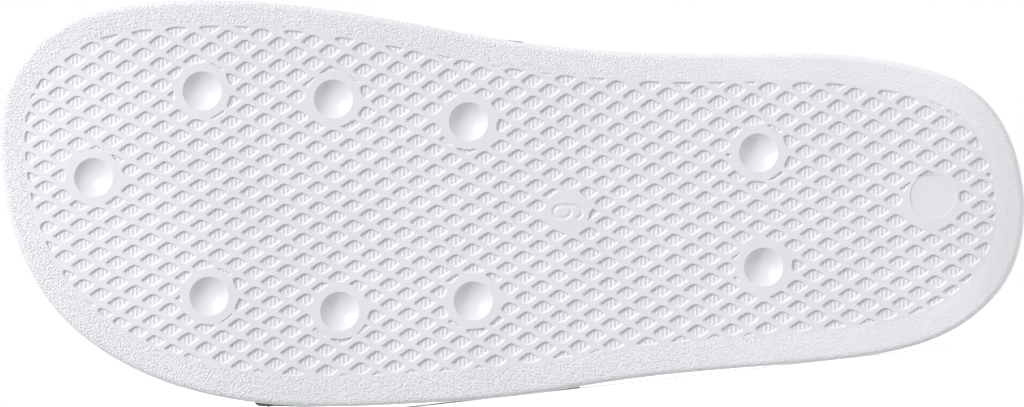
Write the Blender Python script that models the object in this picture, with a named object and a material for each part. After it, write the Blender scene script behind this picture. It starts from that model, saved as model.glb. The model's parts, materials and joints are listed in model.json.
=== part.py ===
"""A right-foot sport slide sandal: a moulded sole, a footbed and one wide strap.

The shoe is modelled standing: X runs from heel to toe, Y towards the big-toe side, Z up from the ground.
The last step lays it on its little-toe side, in the pose in which it comes to rest on a floor.
"""
import math

import bmesh
import bpy
import numpy
from mathutils import Matrix, Vector

# Sole
SOLE_LENGTH = 0.288
SOLE_WIDTH = 0.1166
HEEL_HEIGHT = 0.034
TOE_SPRING = 0.008
HEEL_BEVEL = 0.003
EDGE_ROUND_WIDTH = 0.0055
EDGE_ROUND_HEIGHT = 0.0085
EDGE_ROUND_POWER = 0.25
WALL_LEAN = 0.0008
RIM_ROUND = 0.0015
RIM_WIDTH = 0.0034
RECESS_DEPTH = 0.0080
CUP_RADIUS = 0.0055
CUP_DEPTH = 0.0024

# Footbed
FOOTBED_THICKNESS = 0.0042
FOOTBED_EDGE_ROUND = 0.0010
HEEL_CUP_RISE = 0.0022
ARCH_RISE = 0.0035
TOE_BAR_RISE = 0.0012

# Strap
STRAP_WALL = 0.0030
STRAP_REAR_HEIGHT = 0.0760
STRAP_FRONT_HEIGHT = 0.0570
STRAP_OVERHANG_LITTLE_TOE = 0.0022
STRAP_OVERHANG_BIG_TOE = 0.0010
STRAP_EDGE_FLARE = 0.0008
STRAP_BEND_LIFT = 0.0006
STRAP_CROWN_SHIFT = 0.0060

# Gap between pieces that touch
CLEARANCE = 0.0003

# Outline of the sole: station along SOLE_LENGTH, then each side's reach as a share of SOLE_WIDTH
OUTLINE = (
    # station, big-toe side, little-toe side
    (0.000, -0.012, 0.012),
    (0.010, 0.135, 0.151),
    (0.035, 0.238, 0.245),
    (0.100, 0.324, 0.341),
    (0.200, 0.367, 0.377),
    (0.300, 0.377, 0.387),
    (0.400, 0.394, 0.402),
    (0.500, 0.431, 0.428),
    (0.600, 0.487, 0.437),
    (0.700, 0.536, 0.434),
    (0.800, 0.560, 0.397),
    (0.900, 0.542, 0.289),
    (0.950, 0.491, 0.178),
    (0.980, 0.412, 0.051),
    (0.995, 0.332, -0.078),
    (1.000, 0.213, -0.213),
)

# Height of the sole's rim: station along SOLE_LENGTH, then height as a share of HEEL_HEIGHT
RIM = (
    # station, height
    (0.00, 1.000),
    (0.10, 0.995),
    (0.25, 0.935),
    (0.40, 0.850),
    (0.55, 0.760),
    (0.70, 0.700),
    (0.85, 0.720),
    (1.00, 0.800),
)

# The ground plane ends at these shares of SOLE_LENGTH
HEEL_BREAK = 0.075
TOE_BREAK = 0.760

# Suction cups: station along SOLE_LENGTH, then place across as a share of SOLE_WIDTH, big-toe side positive
CUPS = (
    # station, across
    (0.909, 0.143),
    (0.799, 0.340),
    (0.801, -0.156),
    (0.671, 0.307),
    (0.674, -0.206),
    (0.540, 0.238),
    (0.543, -0.195),
    (0.258, 0.132),
    (0.258, -0.144),
)

# The footbed's arch and toe bar: places and half lengths along SOLE_LENGTH
ARCH_STATION = 0.42
ARCH_SPREAD = 0.13
TOE_BAR_STATION = 0.83
TOE_BAR_SLANT = 0.04
TOE_BAR_SPREAD = 0.025

# Edges of the strap along its arch: arch share from the little-toe side, then stations along SOLE_LENGTH
STRAP_EDGES = (
    # arch, rear, front
    (0.00, 0.438, 0.767),
    (0.25, 0.456, 0.751),
    (0.50, 0.484, 0.737),
    (0.75, 0.486, 0.756),
    (1.00, 0.478, 0.784),
)

# Roundness of the strap's arch: 2 is an ellipse, more is squarer
ARCH_POWER = 2.6
# Share of the arch's height where the strap's sides reach full width
FLARE_TOP = 0.50

# Facets
OUTLINE_STEPS = 48
ROUND_STEPS = 5
FOOTBED_COLUMNS = 10
ARCH_STEPS = 36
SLOT_STEPS = 2
BAND_STEPS = 8
CUP_SEGMENTS = 20
CUP_RINGS = 20
SHARP_ANGLE = math.radians(40)

# Step for slopes worked out by difference
TINY = 1e-4


def spline(knots, values):
    """Return the natural cubic spline through the given values."""
    knots = numpy.array(knots, float)
    values = numpy.array(values, float)
    steps = numpy.diff(knots)
    slopes = numpy.diff(values) / steps
    count = len(knots)
    matrix = numpy.eye(count)
    right = numpy.zeros(count)
    for row in range(1, count - 1):
        matrix[row, row - 1] = steps[row - 1]
        matrix[row, row] = 2 * (steps[row - 1] + steps[row])
        matrix[row, row + 1] = steps[row]
        right[row] = 6 * (slopes[row] - slopes[row - 1])
    bends = numpy.linalg.solve(matrix, right)

    def value(place):
        index = min(max(int(numpy.searchsorted(knots, place)) - 1, 0), count - 2)
        step = steps[index]
        before = (knots[index + 1] - place) / step
        after = 1 - before
        bend = (before ** 3 - before) * bends[index] + (after ** 3 - after) * bends[index + 1]
        return before * values[index] + after * values[index + 1] + bend * step * step / 6

    return value


def station_angle(share):
    """Return the angle of a station, which spreads the stations evenly round the heel and the toe."""
    return math.acos(1 - 2 * min(max(share, 0.0), 1.0))


def station_x(angle):
    return SOLE_LENGTH * (1 - math.cos(angle)) / 2


def closed_spline(rows):
    """Return the smooth closed curve through rows of station, big-toe side value, little-toe side value."""
    loop = [(-station_angle(share), -little) for share, _, little in reversed(rows)]
    loop += [(station_angle(share), big) for share, big, _ in rows[1:-1]]
    turns = [(angle + turn * 2 * math.pi, value) for turn in (-1, 0, 1) for angle, value in loop]
    return spline([angle for angle, _ in turns], [value for _, value in turns])


outline_across = closed_spline(OUTLINE)
rim_share = closed_spline([(share, height, -height) for share, height in RIM])
strap_rear = spline([row[0] for row in STRAP_EDGES], [row[1] * SOLE_LENGTH for row in STRAP_EDGES])
strap_front = spline([row[0] for row in STRAP_EDGES], [row[2] * SOLE_LENGTH for row in STRAP_EDGES])


def outline_point(angle):
    """Return a point of the sole's outline; positive angles are on the big-toe side."""
    return Vector((station_x(angle), SOLE_WIDTH * outline_across(angle), 0.0))


def outline_inset(angle, inset):
    """Return the outline's point at an angle, moved inwards by the inset."""
    along = outline_point(angle + TINY) - outline_point(angle - TINY)
    inwards = Vector((along.y, -along.x, 0.0)).normalized()
    return outline_point(angle) + inwards * inset


def side_reach(x, side, inset):
    """Return how far the inset outline reaches across at x, on side 1 (big toe) or -1 (little toe)."""
    angles = [side * station_angle((x + shift) / SOLE_LENGTH) for shift in (-TINY, 0.0, TINY)]
    before, here, after = (side * outline_point(angle).y for angle in angles)
    slope = (after - before) / (2 * TINY)
    return here - inset * math.hypot(1.0, slope)


def ground_height(x):
    """Return the height of the sole's underside: flat, rising at the toe and a little at the heel."""
    share = x / SOLE_LENGTH
    toe = max(share - TOE_BREAK, 0.0) / (1 - TOE_BREAK)
    heel = max(HEEL_BREAK - share, 0.0) / HEEL_BREAK
    return TOE_SPRING * toe ** 2 + HEEL_BEVEL * heel ** 2


def rim_height(x):
    return HEEL_HEIGHT * rim_share(station_angle(x / SOLE_LENGTH))


def recess_height(x):
    return rim_height(x) - RECESS_DEPTH


def make_ring(mesh, inset, height):
    """Add the inset outline as vertices: heel tip, big-toe side, toe tip, little-toe side."""
    ring = []
    for step in (*range(OUTLINE_STEPS + 1), *range(1 - OUTLINE_STEPS, 0)):
        point = outline_inset(math.pi * step / OUTLINE_STEPS, inset)
        point.z = height(point.x)
        ring.append(mesh.verts.new(point))
    return ring


def bridge(mesh, first, second):
    """Join two rings of equal length with quads."""
    for index in range(len(first)):
        after = (index + 1) % len(first)
        mesh.faces.new((first[index], first[after], second[after], second[index]))


def cap(mesh, ring, columns, height):
    """Fill a ring from side to side, with the given columns and a height for x and share across."""
    rows = []
    for step in range(1, OUTLINE_STEPS):
        big = ring[step]
        little = ring[-step]
        row = [little]
        for column in range(1, columns):
            share = column / columns
            point = little.co.lerp(big.co, share)
            point.z = height(point.x, 2 * share - 1)
            row.append(mesh.verts.new(point))
        rows.append(row + [big])
    for row, following in zip(rows, rows[1:]):
        for column in range(columns):
            mesh.faces.new((row[column], row[column + 1], following[column + 1], following[column]))
    for tip, row in ((ring[0], rows[0]), (ring[OUTLINE_STEPS], rows[-1])):
        for column in range(columns):
            mesh.faces.new((tip, row[column], row[column + 1]))


def make_material(name, colour, roughness):
    material = bpy.data.materials.new(name)
    material.use_nodes = True
    shader = material.node_tree.nodes["Principled BSDF"]
    shader.inputs["Base Color"].default_value = (*colour, 1.0)
    shader.inputs["Roughness"].default_value = roughness
    shader.inputs["Metallic"].default_value = 0.0
    return material


def make_object(name, mesh, material=None):
    """Turn a bmesh into an object, smooth apart from its sharp edges."""
    bmesh.ops.recalc_face_normals(mesh, faces=mesh.faces)
    data = bpy.data.meshes.new(name)
    mesh.to_mesh(data)
    mesh.free()
    data.shade_smooth()
    data.set_sharp_from_angle(angle=SHARP_ANGLE)
    made = bpy.data.objects.new(name, data)
    bpy.context.scene.collection.objects.link(made)
    if material is None:
        made.hide_render = True
        made.display_type = "WIRE"
    else:
        data.materials.append(material)
    return made


def cut(target, cutter):
    """Take the cutter's shape out of the target."""
    modifier = target.modifiers.new(cutter.name, "BOOLEAN")
    modifier.operation = "DIFFERENCE"
    modifier.solver = "EXACT"
    modifier.object = cutter


def make_sole(material):
    """Make the sole unit: underside, rounded edge, wall, rim and the recess for the footbed."""
    mesh = bmesh.new()
    quarter = [math.pi / 2 * step / ROUND_STEPS for step in range(ROUND_STEPS + 1)]
    profile = []
    for angle in quarter:
        inset = EDGE_ROUND_WIDTH * (1 - math.sin(angle) ** EDGE_ROUND_POWER)
        rise = EDGE_ROUND_HEIGHT * (1 - max(math.cos(angle), 0.0) ** EDGE_ROUND_POWER)
        profile.append((inset, lambda x, rise=rise: ground_height(x) + rise))
    for angle in quarter:
        inset = WALL_LEAN + RIM_ROUND * (1 - math.cos(angle))
        drop = RIM_ROUND * (1 - math.sin(angle))
        profile.append((inset, lambda x, drop=drop: rim_height(x) - drop))
    profile.append((RIM_WIDTH, rim_height))
    profile.append((RIM_WIDTH, recess_height))
    rings = [make_ring(mesh, inset, height) for inset, height in profile]
    for ring, following in zip(rings, rings[1:]):
        bridge(mesh, ring, following)
    cap(mesh, rings[0], 1, None)
    cap(mesh, rings[-1], 1, None)
    return make_object("sole", mesh, material)


def make_cup_cutter(number, station, across):
    """Make the ball that presses one suction cup into the underside."""
    x = station * SOLE_LENGTH
    slope = (ground_height(x + TINY) - ground_height(x - TINY)) / (2 * TINY)
    ball_radius = (CUP_RADIUS ** 2 + CUP_DEPTH ** 2) / (2 * CUP_DEPTH)
    down = Vector((slope, 0.0, -1.0)).normalized()
    place = Vector((x, across * SOLE_WIDTH, ground_height(x))) + down * (ball_radius - CUP_DEPTH)
    mesh = bmesh.new()
    bmesh.ops.create_uvsphere(mesh, u_segments=CUP_SEGMENTS, v_segments=CUP_RINGS, radius=ball_radius)
    bmesh.ops.transform(mesh, matrix=Matrix.Translation(place), verts=mesh.verts)
    return make_object("cup_cutter_%d" % number, mesh)


def footbed_contour(x, across):
    """Return the footbed's rise over its flat height; across runs from -1 to 1 at the big-toe side."""
    share = x / SOLE_LENGTH
    heel = HEEL_CUP_RISE * across ** 2 * (1 - share)
    arch = ARCH_RISE * math.exp(-((share - ARCH_STATION) / ARCH_SPREAD) ** 2) * max(across, 0.0) ** 2
    bar_offset = share - TOE_BAR_STATION - TOE_BAR_SLANT * across
    bar = TOE_BAR_RISE * math.exp(-(bar_offset / TOE_BAR_SPREAD) ** 2) * (1 - across ** 2)
    return heel + arch + bar


def footbed_top(x, across):
    return recess_height(x) + CLEARANCE + FOOTBED_THICKNESS + footbed_contour(x, across)


def make_footbed(material):
    """Make the insole that lies in the recess."""
    mesh = bmesh.new()
    inset = RIM_WIDTH + CLEARANCE

    def make_level(extra, height):
        ring = make_ring(mesh, inset + extra, recess_height)
        for index, vertex in enumerate(ring):
            across = 0 if index in (0, OUTLINE_STEPS) else 1 if index < OUTLINE_STEPS else -1
            vertex.co.z = height(vertex.co.x, across)
        return ring

    bottom = make_level(0, lambda x, across: recess_height(x) + CLEARANCE)
    side = make_level(0, lambda x, across: footbed_top(x, across) - FOOTBED_EDGE_ROUND)
    top = make_level(FOOTBED_EDGE_ROUND, footbed_top)
    bridge(mesh, bottom, side)
    bridge(mesh, side, top)
    cap(mesh, bottom, 1, None)
    cap(mesh, top, FOOTBED_COLUMNS, footbed_top)
    return make_object("footbed", mesh, material)


def strap_middle(arch, band):
    """Return a point of the strap's middle layer.

    arch runs from 0, just over the little-toe side's rim, to 1 over the big-toe side's rim, and past
    either end it goes down the slot beside the footbed. band runs from 0 at the rear edge to 1 at the front.
    """
    over = min(max(arch, 0.0), 1.0)
    x = strap_rear(over) + (strap_front(over) - strap_rear(over)) * band
    side = 1 if arch > 0.5 else -1
    height = math.sin(math.pi * over) ** (2 / ARCH_POWER)
    across = abs(math.cos(math.pi * over)) ** (2 / ARCH_POWER)
    overhang = STRAP_OVERHANG_BIG_TOE if side > 0 else STRAP_OVERHANG_LITTLE_TOE
    flare = RIM_WIDTH + CLEARANCE + overhang + STRAP_EDGE_FLARE * (2 * band - 1) ** 2
    flare *= math.sin(math.pi / 2 * min(height / FLARE_TOP, 1.0))
    reach = side_reach(x, side, RIM_WIDTH + CLEARANCE + STRAP_WALL / 2) + flare
    y = side * reach * across + STRAP_CROWN_SHIFT * math.sin(math.pi * over) ** 2
    crown_rear = strap_rear(0.5)
    crown_share = (x - crown_rear) / (strap_front(0.5) - crown_rear)
    crown = STRAP_REAR_HEIGHT + (STRAP_FRONT_HEIGHT - STRAP_REAR_HEIGHT) * crown_share + STRAP_WALL / 2
    bend = rim_height(x) + STRAP_BEND_LIFT
    z = bend + (crown - bend) * height
    past = max(-arch, arch - 1.0, 0.0)
    return Vector((x, y, z - past))


def strap_out(arch, band):
    """Return the direction out of the strap's outer face."""
    along = strap_middle(arch + TINY, band) - strap_middle(arch - TINY, band)
    across = strap_middle(arch, band + TINY) - strap_middle(arch, band - TINY)
    return across.cross(along).normalized()


def make_strap(name, grow, material=None):
    """Make the band, or with grow its cutter, larger by that much on every side."""
    mesh = bmesh.new()
    slot_depth = RECESS_DEPTH + STRAP_BEND_LIFT - CLEARANCE + grow
    arches = [-slot_depth * (1 - step / SLOT_STEPS) for step in range(SLOT_STEPS)]
    arches += [step / ARCH_STEPS for step in range(ARCH_STEPS + 1)]
    arches += [1 + slot_depth * (step + 1) / SLOT_STEPS for step in range(SLOT_STEPS)]
    half = STRAP_WALL / 2 + grow
    loops = []
    for arch in arches:
        over = min(max(arch, 0.0), 1.0)
        spread = grow / (strap_front(over) - strap_rear(over))
        bands = [-spread + (1 + 2 * spread) * step / BAND_STEPS for step in range(BAND_STEPS + 1)]
        outer = [strap_middle(arch, band) + strap_out(arch, band) * half for band in bands]
        inner = [strap_middle(arch, band) - strap_out(arch, band) * half for band in bands]
        loops.append([mesh.verts.new(point) for point in outer + inner[::-1]])
    for loop, following in zip(loops, loops[1:]):
        bridge(mesh, loop, following)
    for loop in (loops[0], loops[-1]):
        for step in range(BAND_STEPS):
            mesh.faces.new((loop[step], loop[step + 1], loop[-step - 2], loop[-step - 1]))
    return make_object(name, mesh, material)


def rest_matrix(pieces):
    """Return the matrix that lays the pieces on the little-toe side, on a floor at height 0.

    They rest on the face of their convex hull that faces most to that side and lies under their centre
    of mass. The toe then points along -X and the underside along -Y.
    """
    hull = bmesh.new()
    volume = 0.0
    moment = Vector((0.0, 0.0, 0.0))
    for piece in pieces:
        solid = bmesh.new()
        solid.from_mesh(piece.data)
        bmesh.ops.triangulate(solid, faces=solid.faces)
        for face in solid.faces:
            a, b, c = (vertex.co for vertex in face.verts)
            wedge = a.dot(b.cross(c)) / 6
            volume += wedge
            moment += (a + b + c) * (wedge / 4)
        solid.free()
        hull.from_mesh(piece.data)
    centre = moment / volume
    bmesh.ops.delete(hull, geom=hull.edges[:], context="EDGES_FACES")
    made = bmesh.ops.convex_hull(hull, input=hull.verts)
    faces = [item for item in made["geom"] if isinstance(item, bmesh.types.BMFace)]
    best = None
    for face in faces:
        a, b, c = (vertex.co.copy() for vertex in face.verts)
        normal = (b - a).cross(c - a).normalized()
        if normal.dot(a - centre) < 0:
            normal.negate()
        foot = centre + normal * normal.dot(a - centre)
        turns = [(q - p).cross(foot - p).dot(normal) for p, q in ((a, b), (b, c), (c, a))]
        inside = min(turns) >= 0 or max(turns) <= 0
        if inside and (best is None or normal.y < best.y):
            best = normal
    hull.free()
    up = -best
    toe = (Vector((1.0, 0.0, 0.0)) - up * up.x).normalized()
    turn = Matrix((-toe, -up.cross(toe), up)).to_4x4()
    laid = [turn @ vertex.co for piece in pieces for vertex in piece.data.vertices]
    low = Vector([min(point[axis] for point in laid) for axis in range(3)])
    high = Vector([max(point[axis] for point in laid) for axis in range(3)])
    return Matrix.Translation((-(low.x + high.x) / 2, -(low.y + high.y) / 2, -low.z)) @ turn


def main():
    for thing in list(bpy.data.objects):
        bpy.data.objects.remove(thing, do_unlink=True)

    sole = make_sole(make_material("light_grey_rubber", (0.74, 0.75, 0.79), 0.55))
    footbed = make_footbed(make_material("grey_footbed", (0.60, 0.61, 0.65), 0.7))
    strap = make_strap("strap", 0.0, make_material("black_synthetic", (0.03, 0.03, 0.033), 0.5))

    cutters = [make_cup_cutter(number, *cup) for number, cup in enumerate(CUPS, 1)]
    for cutter in cutters:
        cut(sole, cutter)
    strap_cutter = make_strap("strap_cutter", CLEARANCE)
    cut(footbed, strap_cutter)

    shoe = bpy.data.objects.new("slide_sandal", None)
    bpy.context.scene.collection.objects.link(shoe)
    for piece in (sole, footbed, strap, strap_cutter, *cutters):
        piece.parent = shoe
    shoe.matrix_world = rest_matrix((sole, footbed, strap))


main()
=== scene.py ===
"""Looks for the slide sandal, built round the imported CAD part.

Sizes are in metres. The shoe is modelled standing, as in the part's source: X from heel to toe, Y towards the
big-toe side, Z up from the ground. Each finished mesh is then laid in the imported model's frame.
"""

import json
import math

import bpy
import numpy
from mathutils import Matrix, Vector
from mathutils.geometry import delaunay_2d_cdt


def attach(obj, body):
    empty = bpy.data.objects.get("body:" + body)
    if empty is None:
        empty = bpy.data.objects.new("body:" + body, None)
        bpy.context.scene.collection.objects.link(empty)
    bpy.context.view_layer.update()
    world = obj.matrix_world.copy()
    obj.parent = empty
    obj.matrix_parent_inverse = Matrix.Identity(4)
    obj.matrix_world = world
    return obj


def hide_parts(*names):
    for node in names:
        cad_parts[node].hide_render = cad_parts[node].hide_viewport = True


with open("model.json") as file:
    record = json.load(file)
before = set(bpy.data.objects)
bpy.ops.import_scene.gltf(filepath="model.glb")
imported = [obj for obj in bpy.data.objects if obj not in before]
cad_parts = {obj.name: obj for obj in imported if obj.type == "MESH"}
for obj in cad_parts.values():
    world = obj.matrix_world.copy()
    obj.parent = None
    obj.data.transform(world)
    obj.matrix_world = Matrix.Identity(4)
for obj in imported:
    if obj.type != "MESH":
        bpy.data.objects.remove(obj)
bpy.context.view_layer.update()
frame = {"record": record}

# Sizes repeated from the part's source
SOLE_LENGTH = 0.288
SOLE_WIDTH = 0.1166
HEEL_HEIGHT = 0.034
TOE_SPRING = 0.008
HEEL_BEVEL = 0.003
EDGE_ROUND_WIDTH = 0.0055
EDGE_ROUND_HEIGHT = 0.0085
EDGE_ROUND_POWER = 0.25
WALL_LEAN = 0.0008
RIM_ROUND = 0.0015
RIM_WIDTH = 0.0034
RECESS_DEPTH = 0.0080
CUP_RADIUS = 0.0055
CUP_DEPTH = 0.0024
FOOTBED_THICKNESS = 0.0042
FOOTBED_EDGE_ROUND = 0.0010
HEEL_CUP_RISE = 0.0022
ARCH_RISE = 0.0035
TOE_BAR_RISE = 0.0012
STRAP_WALL = 0.0030
STRAP_REAR_HEIGHT = 0.0760
STRAP_FRONT_HEIGHT = 0.0570
STRAP_BEND_LIFT = 0.0006
STRAP_CROWN_SHIFT = 0.0060
CLEARANCE = 0.0003
HEEL_BREAK = 0.075
TOE_BREAK = 0.760
ARCH_STATION = 0.42
ARCH_SPREAD = 0.13
TOE_BAR_STATION = 0.83
TOE_BAR_SLANT = 0.04
TOE_BAR_SPREAD = 0.025
ARCH_POWER = 2.6
FLARE_TOP = 0.50

# The strap's outer skin stands a little further out on the little-toe side than the source's 0.0022,
# 0.0010 and 0.0008
STRAP_OVERHANG_LITTLE_TOE = 0.0024
STRAP_OVERHANG_BIG_TOE = 0.0006
STRAP_EDGE_FLARE = 0.0012

# Outline of the sole: station along SOLE_LENGTH, then each side's reach as a share of SOLE_WIDTH
OUTLINE = (
    # station, big-toe side, little-toe side
    (0.000, -0.012, 0.012),
    (0.010, 0.135, 0.151),
    (0.035, 0.238, 0.245),
    (0.100, 0.324, 0.341),
    (0.200, 0.367, 0.377),
    (0.300, 0.377, 0.387),
    (0.400, 0.394, 0.402),
    (0.500, 0.431, 0.428),
    (0.600, 0.487, 0.437),
    (0.700, 0.536, 0.434),
    (0.800, 0.560, 0.397),
    (0.900, 0.542, 0.289),
    (0.950, 0.491, 0.178),
    (0.980, 0.412, 0.051),
    (0.995, 0.332, -0.078),
    (1.000, 0.213, -0.213),
)

# Height of the sole's rim: station along SOLE_LENGTH, then height as a share of HEEL_HEIGHT
RIM = (
    # station, height
    (0.00, 1.000),
    (0.10, 0.995),
    (0.25, 0.935),
    (0.40, 0.850),
    (0.55, 0.760),
    (0.70, 0.700),
    (0.85, 0.720),
    (1.00, 0.800),
)

# Suction cups: station along SOLE_LENGTH, then place across as a share of SOLE_WIDTH, big-toe side positive
CUPS = (
    # station, across
    (0.909, 0.143),
    (0.799, 0.340),
    (0.801, -0.156),
    (0.671, 0.307),
    (0.674, -0.206),
    (0.540, 0.238),
    (0.543, -0.195),
    (0.258, 0.132),
    (0.258, -0.144),
)

# Edges of the strap along its arch: arch share from the little-toe side, then stations along SOLE_LENGTH
STRAP_EDGES = (
    # arch, rear, front
    (0.00, 0.438, 0.767),
    (0.25, 0.456, 0.751),
    (0.50, 0.484, 0.737),
    (0.75, 0.486, 0.756),
    (1.00, 0.478, 0.784),
)

# Step for slopes worked out by difference
TINY = 1e-4

# How far along the shoe the record's flat face at the heel lies
MOUNT_HEEL_X = 0.050

# Camera: its turn about the view, what it looks at, the width that it shows at the outline's level
PICTURE_TURN = math.radians(2.5)
PICTURE_CENTRE = (0.14429, 0.00419)
PICTURE_WIDTH = 0.28887
OUTLINE_LEVEL = 0.0085
CAMERA_DISTANCE = 4.5
SENSOR_WIDTH = 36.0
CAMERA_CLIP_END = 100.0

# Tread cells, along the picture's right and down: their grid, and how far it is searched
TREAD_ORIGIN = (0.14763, 0.00533)
CELL_START = (0.00099, 0.00231)
CELL_FALL = (0.004880, 0.002632)
CELL_CLIMB = (0.004660, -0.003174)
CELL_RANGE = 42
CELL_SEARCH_REACH = 0.01
# The ribs between the cells, the cells' walls seen from below, and the fine ribs on their floors
RIB_TOP_HALF = 0.00056
CELL_WALL = 0.00050
CELL_WALL_UPPER = 0.00040
CELL_WALL_LOWER = 0.00062
CELL_DEPTH = 0.00078
SHOULDER_SHARE = 0.2
SHOULDER_DROP = 0.00010
CORNER_SHARPNESS = 4.5
FINE_RIB_PITCH = 0.001213
FINE_RIB_HEIGHT = 0.00019
# A cell is left out where less than this share of it is free
SMALLEST_CELL = 0.07
# Least share of a cell's room that a wall leaves, and most that a round place's wall takes
LEAST_ROOM = 0.45
MOST_GROWTH = 0.55
# A cell is shallower where a bound is closer to its middle than this
FULL_DEPTH_ROOM = 0.0009
# Least share of a half pitch between a cell's tip and its first fine rib
RIB_END_SHARE = 0.25

# Smooth margin round the tread, in metres in from the outline: station, then each side's width
TREAD_MARGINS = (
    # station, big-toe side, little-toe side
    (0.00, 0.0082, 0.0082),
    (0.10, 0.0082, 0.0087),
    (0.30, 0.0080, 0.0088),
    (0.50, 0.0075, 0.0086),
    (0.70, 0.0071, 0.0084),
    (0.90, 0.0073, 0.0081),
    (1.00, 0.0070, 0.0070),
)

# The cells drift from an even grid: powers of the share right and down, then drift right and down
DRIFT_SPAN = (0.1128, 0.0423)
DRIFT = (
    # right, down, drift right, drift down
    (0, 0, 0.00005, -0.00015),
    (0, 1, 0.00040, -0.00075),
    (0, 2, 0.00033, -0.00072),
    (0, 3, 0.00003, 0.00083),
    (1, 0, -0.00110, 0.00040),
    (1, 1, 0.00059, 0.00072),
    (1, 2, 0.00040, -0.00050),
    (2, 0, 0.00030, 0.00107),
    (2, 1, 0.00007, 0.00062),
    (3, 0, 0.00108, -0.00026),
)

# Smooth round places in the tread
CUP_CLEAR = 0.0078
HEEL_DISC = (0.0258, 0.0011)
HEEL_DISC_RADIUS = 0.0065
HEEL_DISC_STEP = 0.00020
HEEL_CLEAR_PLACE = (0.0264, -0.0006)
HEEL_DISC_CLEAR = 0.0078
NUMBER_PLACE = (0.1287, 0.0015)
NUMBER_CLEAR = 0.0060

# Profiles from the border inwards: share of the radius, then the drop, in metres or shares of the step
CUP_SHOULDER = ((0.985, 0.00006), (0.965, 0.00022))
HEEL_DISC_PROFILE = ((0.99, 0.3), (0.975, 1.0), (0.5, 1.0), (0.0, 1.0))

# How far outside the tread the grain ends
GRAIN_GAP = 0.0004

# Rings up the wall, as shares of its height, and the break of the rim's inner edge
WALL_SHARES = (0.33, 0.67)
RIM_BREAK = 0.0003

# The size number: centre lines in the picture's right and down, from the middle of its patch
NUMBER_LOOP_CENTRE = (-0.00156, 0.00034)
NUMBER_LOOP_RADII = (0.00246, 0.00181)
NUMBER_TAIL = (
    # right, down
    (-0.00100, -0.00152),
    (0.00076, -0.00147),
    (0.00240, -0.00110),
    (0.00347, -0.00042),
    (0.00392, 0.00054),
    (0.00370, 0.00147),
    (0.00276, 0.00206),
)
NUMBER_HALF_WIDTH = 0.00066
NUMBER_DEPTH = 0.00030
NUMBER_GRID = 0.00025
NUMBER_BORDER_GAP = 0.0003
NUMBER_GRID_GAP = 0.0006

# Strap: binding on both edges and stitches beside it
REAR_BINDING_WIDTH = 0.0062
REAR_BINDING_PROUD = 0.00045
FRONT_BINDING_WIDTH = 0.0052
FRONT_BINDING_PROUD = 0.00028
BINDING_INSIDE_WIDTH = 0.0045
BINDING_INSIDE_PROUD = 0.00015
STITCH_LENGTH = 0.0024
STITCH_PITCH = 0.0031
STITCH_RADIUS = 0.00026
STITCH_SINK = 0.00008
STITCH_END_SINK = 1.2
STITCH_FROM_BORDER = 0.0013
STITCH_FIRST_ARCH = 0.012
STITCH_LAST_ARCH = 0.988
# Along a stitch: share of its length, share of its radius
STITCH_SECTIONS = ((0.0, 0.0), (0.08, 0.7), (0.25, 1.0), (0.5, 1.0), (0.75, 1.0), (0.92, 0.7), (1.0, 0.0))

# Facets
OUTLINE_STEPS = 150
OUTLINE_SAMPLES = 1200
ROUND_STEPS = 8
CELL_SAMPLES = 41
CELL_DIRECTIONS = 240
CUP_SEGMENTS = 64
CUP_RINGS = 9
NUMBER_LOOP_STEPS = 72
NUMBER_TAIL_STEPS = 60
FOOTBED_COLUMNS = 36
FOOTBED_ROUND_SHARES = (0.0, 0.33, 0.67, 1.0)
FOOTBED_SHARP_ANGLE = math.radians(50)
CUTTER_ARCH_STEPS = 36
CUTTER_BANDS = 8
STRAP_ARCH_STEPS = 110
STRAP_ROUND_STEPS = 5
STRAP_NEAR_STEPS = 13
STRAP_NEAR_STEP = 0.0004
STRAP_MIDDLE_STEPS = 26
STITCH_SIDES = 6
STITCH_SAMPLES = 500

# The underside is cut into triangles in millimetres, and only inside its loops
TO_MILLIMETRES = 1000.0
TRIANGLES_INSIDE = 1
MERGE_DISTANCE = 1e-6

# Material slots of the sole and of the strap
RUBBER = 0
GRAIN = 1
LEATHER = 0
BINDING = 1
LINING = 2

# Colours, darker and lighter. The grain shades itself, so its own are a little lighter than the rubber's
RUBBER_COLOURS = ((0.80, 0.81, 0.845), (0.83, 0.84, 0.875))
GRAIN_COLOURS = ((0.845, 0.855, 0.885), (0.875, 0.885, 0.915))
FOOTBED_COLOURS = ((0.57, 0.58, 0.61), (0.60, 0.61, 0.64))
LEATHER_COLOURS = ((0.040, 0.040, 0.043), (0.052, 0.052, 0.055))
BINDING_COLOURS = ((0.048, 0.048, 0.050), (0.060, 0.060, 0.063))
LINING_COLOURS = ((0.028, 0.028, 0.031), (0.055, 0.055, 0.06))
THREAD_COLOURS = ((0.05, 0.05, 0.055), (0.09, 0.09, 0.10))
FLOOR_COLOURS = ((0.92, 0.92, 0.92), (0.94, 0.94, 0.94))

# Grain: scale, depth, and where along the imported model's X it starts to fade and where it is weakest
GRAIN_SCALE = 1900.0
GRAIN_DEPTH = 0.00062
GRAIN_TOE_X = 0.0
GRAIN_HEEL_X = 0.12
GRAIN_TOE_STRENGTH = 1.0
GRAIN_HEEL_STRENGTH = 0.5
KNIT_SCALE = 260.0
KNIT_DISTORTION = 0.6

# The floor ends where its own light does, so no grey distance shows behind the shoe
FLOOR_HALF = 12.0
FLOOR_BACK = 2.5

# The studio is whiter behind the shoe than in front of its underside, with a soft change between
WORLD_FRONT = 0.44
WORLD_BACK = 1.0
WORLD_CHANGE_FRONT = -0.35
WORLD_CHANGE_BACK = 0.05

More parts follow.
